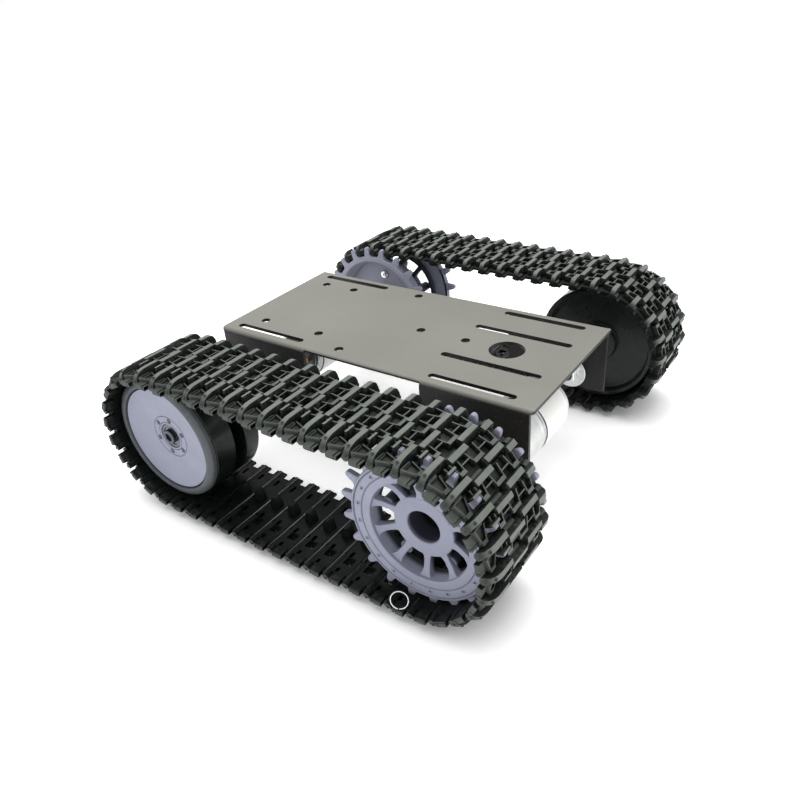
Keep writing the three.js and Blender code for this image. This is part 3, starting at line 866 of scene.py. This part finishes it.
OUTER_ROW, INNER_ROW = (86.9, 89.2), (58.2, 60.4)
TOOTH_FLANK = ((27.6, 0.090), (28.3, 0.066), (30.2, 0.050), (31.7, 0.036), (32.3, 0.020))
TOOTH_TIP, TOOTH_ROOT_BORE = 32.4, 26.0
POST_CIRCLE, POST_R = 15.4, 2.4
SPOKE_STATIONS = (  # radius, half width and outer face
    (11.3, 2.1, 85.9), (12.3, 1.5, 85.9), (14, 1.2, 86.1),
    (17, 1.25, 86.9), (18.6, 1.6, 87.8), (19.9, 2.6, 88.6),
)


def gear(shape, centre, row):
    """Twenty teeth midway between the pins, with round roots and tips."""
    outline = []
    for k in range(TEETH):
        middle = (k + 0.5) * STEP
        outline += [polar(r, middle - half, centre) for r, half in TOOTH_FLANK]
        outline.append(polar(TOOTH_TIP, middle, centre))
        outline += [polar(r, middle + half, centre) for r, half in TOOTH_FLANK[::-1]]
    shape.slab(outline, *row, [circle(TOOTH_ROOT_BORE, centre, 160)], 0.28)


def spoke(centre, angle):
    """Rings of one spoke, wider at the hub and at the rim."""
    along, across = Vector(polar(1, angle)), Vector(polar(1, angle + math.pi / 2))
    rings = []
    for radius, half, w in SPOKE_STATIONS:
        right = [(half - 0.2, w), (half, w - 0.2), (half, w - 3.0)]
        section = [(-offset, depth) for offset, depth in right[::-1]] + right
        middle = Vector(centre) + along * radius
        points = [(middle + across * offset, depth) for offset, depth in section]
        rings.append([(point.x, -depth, point.y) for point, depth in points])
    return rings


def sprocket(side):
    """The open spoked outer half, the dished inner half, and the sleeve and screw."""
    centre = (AXLE_X, AXLE_Z)
    body = f"{side.name}_drive_wheel"
    posts = [SPOKE_PHASE + 2 * math.pi * k / POSTS for k in range(POSTS)]

    outer = Shape()
    rim = [
        (19.6, 82.5), (19.6, 89.45), (19.85, 89.7), (22.6, 89.8), (22.75, 89.35), (23.1, 89.35),
        (23.25, 89.8), (25.9, 89.95), (26.05, 89.35), (26.45, 89.35), (26.6, 90.1), (27.0, 90.1),
        (27.3, 89.8), (27.3, 86.9), (21.6, 86.9), (21.3, 82.5),
    ]
    outer.turned(rim, centre, 160)
    gear(outer, centre, OUTER_ROW)
    hub = [
        (6.5, 77.8), (6.5, 85.7), (6.8, 86.0), (11.7, 86.0),
        (12.0, 85.7), (12.0, 82.0), (9.6, 81.6), (9.6, 77.8),
    ]
    outer.turned(hub, centre)
    for k in range(SPOKES):
        outer.loft(spoke(centre, SPOKE_PHASE + 2 * math.pi * k / SPOKES))
    for angle in posts:
        post = [(0, 68.3), (POST_R, 68.3), (POST_R, 85), (0, 85)]
        outer.turned(post, polar(POST_CIRCLE, angle, centre), 24)
    for k in range(TEETH):
        rivet = polar(24.4, (k + 0.5) * STEP, centre)
        collar = [(0.4, 89.6), (0.75, 89.6), (0.75, 90.05), (0.62, 90.2), (0.4, 90.1)]
        outer.turned(collar, rivet, 16)
        outer.turned([(0, 89.6), (0.42, 89.6), (0.42, 89.98), (0, 89.98)], rivet, 12, 1)
    side.piece("sprocket_outer", "half", outer, [WHEEL, CAP], body, "wheel_plastic")

    inner = Shape()
    dish = [
        (2.4, 66), (7, 66), (22.2, 66), (24.5, 58.9), (25.0, 58.1), (25.5, 58.0), (27.0, 58.0),
        (27.4, 58.4), (27.4, 61), (25.8, 61.2), (24.2, 68), (2.4, 68),
    ]
    inner.turned(dish, centre, 160)
    gear(inner, centre, INNER_ROW)
    inner.slab(circle(9, centre, 64), 60, 66.2, [hexagon(12.6, centre)], 0.3)
    head = [(0, 66.2), (2.2, 66.2), (2.2, 65.3), (1.9, 64.9), (0.7, 64.75), (0.6, 65.2), (0, 65.3)]
    for angle in posts:
        inner.turned(head, polar(POST_CIRCLE, angle, centre), 24, 1)
    for k in range(TEETH):
        stud = polar(26.3, (k + 0.5) * STEP, centre)
        inner.turned([(0, 58.3), (0.55, 58.3), (0.5, 57.95), (0, 57.9)], stud, 12)
    side.piece("sprocket_inner", "half", inner, [WHEEL, BRIGHT], body, "wheel_plastic")

    tube = [(7.4, 68.3), (9.3, 68.3), (9.3, 77.5), (7.4, 77.5)]
    sleeve = Shape().turned(tube, centre, 64, soft=0.25)
    side.piece("sprocket_sleeve", "tube", sleeve, [CAP], body, "wheel_plastic")
    screw = Shape()
    head = [
        (1.75, 69.6), (1.95, 71.1), (2.4, 71.2), (3.2, 71.2),
        (3.6, 70.7), (3.6, 68.3), (1.95, 68.3), (1.95, 68.8),
    ]
    screw.turned(head, centre, 48)
    screw.turned([(0, 55.6), (1.5, 55.6), (1.95, 56.1), (1.95, 69.6), (0, 69.6)], centre, 32)
    side.piece("sprocket_screw", "head", screw, [DARK], body, "bright_steel")


# ---- gearmotor ----

GEARBOX_R, GEARBOX_LONG = 12.5, 20
CAN_R, CAN_LONG = 12.2, 24.3
LABEL_R = 12.7
SHAFT_R = 2
COUPLING_FLATS, COUPLING_BORE = 12, 2.35


def threaded(shape, centre, w0, w1, radius, pitch):
    """A screw's shank as a stack of shallow ridges."""
    root = radius - 0.22
    count = max(2, int(abs(w1 - w0) / pitch))
    profile = [(0, w0)]
    for k in range(count):
        w = w0 + (w1 - w0) * k / count
        profile += [(root, w), (radius, w + (w1 - w0) * 0.5 / count)]
    profile += [(root, w1), (0, w1)]
    shape.turned(profile, centre, 40)


def motor_end_cap(centre, w):
    """The brush end cap behind the can's rear face at w: plate, boss and two terminals."""
    cap = Shape()
    plate = [
        (0, w - 1.4), (3.2, w - 1.4), (8.6, w - 1.8), (9.8, w - 1.8),
        (10.2, w - 1.4), (10.2, w - 0.3), (0, w - 0.3),
    ]
    cap.turned(plate, centre, 72)
    cap.turned([(0, w - 3), (2.6, w - 3), (3.1, w - 2.5), (3.1, w - 1), (0, w - 1)], centre, 48, 1)
    for dx in (-7.4, 7.4):
        x, z = AXLE_X + dx, AXLE_Z
        tag = [(z - 1.35, w - 1), (z + 1.35, w - 1), (z + 1.35, w - 4.9)]
        tag += [(z + 0.6, w - 6), (z - 0.6, w - 6), (z - 1.35, w - 4.9)]
        cap.loft([[(px, -pw, pz) for pz, pw in tag] for px in (x - 0.28, x + 0.28)], 1)
        cap.turned([(0, w - 2.4), (1.6, w - 2.4), (1.9, w - 1), (0, w - 1)], (x, z + 3.4), 20)
    return cap


def motor(side):
    """The gearmotor with its screws, its shaft and the coupling that carries the sprocket."""
    centre = (AXLE_X, AXLE_Z)
    front = WALL_IN - 0.3
    back = front - GEARBOX_LONG
    can_back = back - CAN_LONG

    box = Shape()
    shell = [(0, back), (12.0, back), (GEARBOX_R, back + 0.4)]
    for w in (front - 17.2, front - 2.7):
        shell += [(GEARBOX_R, w), (12.3, w + 0.2), (12.3, w + 0.5), (GEARBOX_R, w + 0.7)]
    shell += [(GEARBOX_R, front - 0.4), (12.1, front), (3.5, front), (3.5, 38.9)]
    shell += [(3.2, 39.1), (2.08, 39.1), (2.08, 27.5), (0, 27.5)]
    box.turned(shell, centre)
    side.piece("gearbox", "housing", box, [GEARBOX], "chassis", "gearbox_metal")

    can = Shape()
    profile = [
        (0, can_back), (9.6, can_back), (10.0, can_back + 0.3), (11.4, can_back + 0.3),
        (CAN_R, can_back + 1.1), (CAN_R, back - 1.6), (12.0, back - 1.4), (12.0, back - 1.0),
        (CAN_R, back - 0.8), (CAN_R, back - 0.3), (0, back - 0.3),
    ]
    can.turned(profile, centre)
    side.piece("motor_can", "shell", can, [CAN], "chassis", "can_steel")

    w0, w1 = can_back + 3.4, back - 2
    film = [(12.42, w0), (LABEL_R, w0), (LABEL_R, w1), (12.42, w1)]
    label = Shape().turned(film, centre, 128, soft=0.1)
    side.piece("motor_label", "wrap", label, [LABEL], "chassis", "label_film")
    cap = motor_end_cap(centre, can_back)
    side.piece("motor_end_cap", "set", cap, [CAP, BRASS], "chassis", "end_cap_plastic", 0.08)

    head = [
        (0, 39.5), (0.95, 39.5), (0.95, 40.45), (1.5, 40.55), (2.2, 40.35),
        (2.6, 39.9), (2.7, 39.3), (2.7, 38.8), (0, 38.8),
    ]
    for letter, dx in (("a", -MOTOR_SCREW_X), ("b", MOTOR_SCREW_X)):
        at = (AXLE_X + dx, AXLE_Z)
        screw = Shape().turned(head, at, 40)
        threaded(screw, at, 32.2, 38.8, 1.35, 0.5)
        side.piece(f"motor_screw_{letter}", "fine", screw, [BRIGHT], "chassis", "bright_steel")

    wheel = f"{side.name}_drive_wheel"
    shaft = Shape()
    flatted = [polar(SHAFT_R, math.radians(a), centre) for a in np.linspace(127, 413, 40)]
    shaft.slab(circle(SHAFT_R, centre, 40), 28, 38.9, edge=0.2)
    shaft.slab(flatted, 38.9, 52, edge=0.2)
    side.piece("output_shaft", "fine", shaft, [BRIGHT], wheel, "bright_steel")
    outline = fillet(hexagon(COUPLING_FLATS, centre), 0.5, 4)
    coupling = Shape().slab(outline, 42, 65.4, [circle(COUPLING_BORE, centre, 40)], 0.45)
    side.piece("hex_coupling", "fine", coupling, [BRASS], wheel, "brass")
    rings = []
    for z, radius in ((2.0, 1.2), (2.3, 1.4), (5.9, 1.4), (6.0, 1.3), (6.0, 0.75), (5.2, 0.7)):
        rings.append([(x, y, AXLE_Z + z) for x, y in circle(radius, (AXLE_X, -47), 24)])
    side.piece("grub_screw", "fine", Shape().loft(rings), [DARK], wheel, "dark_steel")


# ---- idler ----

DRUM_R, DRUM_BORE = 27.6, 6
BOLT_R, BOLT_HEAD_R, BOLT_TOP = 2, 3.2, 91.2
HUB_SLAB_R, HUB_BORE = 9.25, 6.65
RECESSES, RECESS_CIRCLE, RECESS_R = 6, 7.9, 1.2


def idler_cap(centre):
    """Slightly domed grey face, a darker shoulder round it and a hub with six recesses."""
    cap = Shape()
    face = [
        (5.6, 84.5), (5.6, 89.75), (5.75, 89.9), (6.3, 89.9), (6.45, 89.6), (6.6, 88.9),
        (9.3, 88.9), (9.35, 89.65), (9.6, 89.65), (9.75, 89.98), (23.0, 92.35), (23.2, 91.9),
        (23.2, 89.4), (7.4, 87.6), (7.4, 84.5),
    ]
    cap.turned(face, centre, 160)
    shoulder = [
        (23.6, 89.5), (23.6, 92.7), (23.8, 93.2), (24.2, 93.5), (24.9, 93.5),
        (25.6, 93.25), (26.3, 92.8), (26.9, 92.3), (27.25, 91.7), (27.3, 90.4),
    ]
    cap.turned(shoulder, centre, 160, 2)
    # uneven sides and phases, so that points of different circles don't line up
    holes = [circle(HUB_BORE, centre, 97, 0.4)]
    for k in range(RECESSES):
        spot = polar(RECESS_CIRCLE, math.radians(20 + 360 / RECESSES * k), centre)
        holes.append(circle(RECESS_R, spot, 26, 0.3 + 0.07 * k))
    cap.slab(circle(HUB_SLAB_R, centre, 119, 0.013), 88.8, 89.9, holes, 0.07)
    return cap


def idler(side):
    """The capped double drum on two bearings, and the bolt that carries it."""
    centre = (-AXLE_X, AXLE_Z)
    body = f"{side.name}_idler_wheel"
    cap = idler_cap(centre)
    side.piece("idler_cap", "disc", cap, [WHEEL, CAP, RIM], body, "wheel_plastic")

    ring = [
        (DRUM_BORE, 80), (27.3, 80), (DRUM_R, 80.3), (DRUM_R, 89.9),
        (27.4, 90.1), (25.9, 90.1), (25.9, 82), (DRUM_BORE, 82),
    ]
    drum = Shape().turned(ring, centre, 160)
    side.piece("idler_outer_drum", "half", drum, [DRUM], body, "drum_plastic")
    dish = [
        (5.6, 67.2), (5.8, 67), (8.7, 67), (9, 67.3), (9, 69.7), (9.3, 70), (23.8, 70),
        (24.2, 69.6), (24.9, 66.5), (25.3, 66), (26.8, 66), (DRUM_R, 66.8), (DRUM_R, 73.7),
        (27.3, 74), (12.4, 74), (12, 74.4), (12, 79.7), (5.6, 79.7),
    ]
    drum = Shape().turned(dish, centre, 160)
    side.piece("idler_inner_drum", "half", drum, [DRUM], body, "drum_plastic")

    for where, w0, w1 in (("outer", 85, 89.4), ("inner", 67.3, 71)):
        race = [
            (2.08, w0), (3.1, w0), (3.2, w0 + 0.35), (4.2, w0 + 0.35), (4.3, w0), (5.3, w0),
            (5.3, w1), (4.3, w1), (4.2, w1 - 0.35), (3.2, w1 - 0.35), (3.1, w1), (2.08, w1),
        ]
        bearing = Shape().turned(race, centre, 72)
        side.piece(f"idler_{where}_bearing", "ring", bearing, [RACE], body, "bearing_steel")

    bolt = Shape()
    socket = fillet(hexagon(3.4, centre), 0.1)
    bolt.slab(circle(BOLT_HEAD_R, centre, 60), 89.8, BOLT_TOP, [socket], 0.25)
    # the near-black floor of the hex socket is painted shade
    bolt.turned([(0, 89.5), (2.1, 89.5), (2.1, 89.9), (0, 89.9)], centre, 24, 1)
    bolt.turned([(0, 60), (BOLT_R, 60), (BOLT_R, 90), (0, 90)], centre, 40)
    bolt.turned([(0, 37), (BOLT_R, 37), (BOLT_R, 60), (0, 60)], centre, 40)
    threaded(bolt, centre, 30.2, 37, BOLT_R, 0.55)
    side.piece("idler_bolt", "fine", bolt, [BOLT, CAP], "chassis", "dark_steel")
    tube = [(2.3, 38.8), (4, 38.8), (4, 67), (2.3, 67)]
    spacer = Shape().turned(tube, centre, 48, soft=0.25)
    side.piece("idler_spacer", "tube", spacer, [ALLOY], "chassis", "turned_aluminium")
    disc = [(2.3, 35.4), (7.2, 35.4), (7.4, 35.6), (7.4, 36.5), (7.2, 36.7), (2.3, 36.7)]
    washer = Shape().turned(disc, centre)
    side.piece("idler_washer", "disc", washer, [BRIGHT], "chassis", "bright_steel")
    outline = fillet(hexagon(7, centre), 0.3)
    nut = Shape().slab(outline, 31.9, 35.1, [circle(2.35, centre, 40)], 0.35)
    side.piece("idler_nut", "fine", nut, [BRIGHT], "chassis", "bright_steel")


def snap_ring():
    """A thin snap ring, not quite closed, that stands on the right track beside the sprocket."""
    ring_r, wire_r = 3.2, 0.22
    low, high = box_mm("snap_ring_right")
    middle, axis = (low + high) / 2, Vector((0.36, -0.86, 0.36)).normalized()
    across = axis.cross(Vector((0, 0, 1))).normalized()
    rise = axis.cross(across)
    rings = []
    for k in range(73):
        angle = 2 * math.pi * (0.25 + 0.975 * k / 72)
        out = across * math.cos(angle) + rise * math.sin(angle)
        section = circle(wire_r, (ring_r, 0.0), 10)
        rings.append([middle + out * x + axis * y for x, y in section])
    name = "snap_ring_right_wire"
    mesh = Shape().loft(rings).mesh(name)
    place(name, mesh, [BRIGHT], "chassis", ["snap_ring_right"])


deck()
snap_ring()
for side in (Side("right"), Side("left")):
    track(side)
    sprocket(side)
    motor(side)
    idler(side)

# ---- floor, light and camera ----


def floor():
    """A plain pale floor, six metres to each side."""
    size = 6.0
    corners = [(-size, -size, 0), (size, -size, 0), (size, size, 0), (-size, size, 0)]
    mesh = bpy.data.meshes.new("floor")
    mesh.from_pydata(corners, [], [(0, 1, 2, 3)])
    # painted light: the floor glows a little, brightening its shade round the object, except where
    # something stands close over it
    headroom, glow = 0.03, 0.44
    s = Surface("floor_paint", Emission_Color=(1.0, 1.0, 1.0))
    close = s.tree.nodes.new("ShaderNodeAmbientOcclusion")
    close.inputs["Distance"].default_value = headroom
    s.set("Emission Strength", s.range(close.outputs["AO"], 0.35, 0.88, 0.0, glow))
    cloud = s.clouds(90, 3)
    s.set("Base Color", s.mix(cloud, (0.90, 0.90, 0.90), (0.92, 0.92, 0.92)))
    s.set("Roughness", s.clouds(40, 3, 0.75, 0.9))
    mesh.materials.append(s.material)
    made = scene_object("floor", mesh)
    made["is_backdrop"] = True


def area_light(name, at, towards, size, watts):
    lamp = bpy.data.lights.new(name, "AREA")
    lamp.shape, lamp.size, lamp.size_y = "RECTANGLE", *size
    lamp.energy = watts
    made = scene_object(name, lamp)
    made.location = at
    made.rotation_euler = (Vector(towards) - Vector(at)).to_track_quat("-Z", "Y").to_euler()


def lights():
    """A white sky, and three soft lamps: above, in front of and beside the right-hand track."""
    world = bpy.data.worlds.new("studio")
    bpy.context.scene.world = world
    world.use_nodes = True
    background = world.node_tree.nodes["Background"]
    background.inputs["Color"].default_value = (1.0, 1.0, 1.0, 1.0)
    background.inputs["Strength"].default_value = 1.0
    middle = (0, 0, 0.03)
    area_light("top", (-0.1, 0.25, 0.9), middle, (0.9, 0.9), 5)
    area_light("front", (0.35, -0.9, 0.55), middle, (0.8, 0.5), 0.8)
    area_light("side", (-0.9, -0.25, 0.4), middle, (0.5, 0.5), 0.8)


def camera():
    """Looks down on the right-hand track from the +X end, turned a little about its axis."""
    azimuth, elevation, roll = math.radians(-36.44), math.radians(30.86), math.radians(-4.39)
    sensor, focal_length = 36.0, 33.5925
    middle = Vector((0, 0, 5.4))
    sideways, upwards, back = -7.4305, 13.1747, 355.663

    level = Vector((math.cos(azimuth), -math.sin(azimuth), 0))
    forward = Vector((math.sin(azimuth), math.cos(azimuth), 0))
    ahead = forward * math.cos(elevation) - Vector((0, 0, math.sin(elevation)))
    rise = level.cross(ahead)
    right = level * math.cos(roll) + rise * math.sin(roll)
    up = rise * math.cos(roll) - level * math.sin(roll)
    spot = middle + right * sideways + up * upwards - ahead * back

    lens = bpy.data.cameras.new("camera")
    lens.sensor_width, lens.lens = sensor, focal_length
    lens.clip_start, lens.clip_end = 0.01, 20
    made = scene_object("camera", lens)
    turn = Matrix((right, up, -ahead)).transposed().to_4x4()
    made.matrix_world = Matrix.Translation(spot * MM) @ turn
    bpy.context.scene.camera = made


floor()
lights()
camera()
bpy.context.scene.view_settings.view_transform = "Standard"

visual_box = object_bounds()
as_lists = [[list(map(float, corner)) for corner in box] for box in (cad_box, visual_box)]
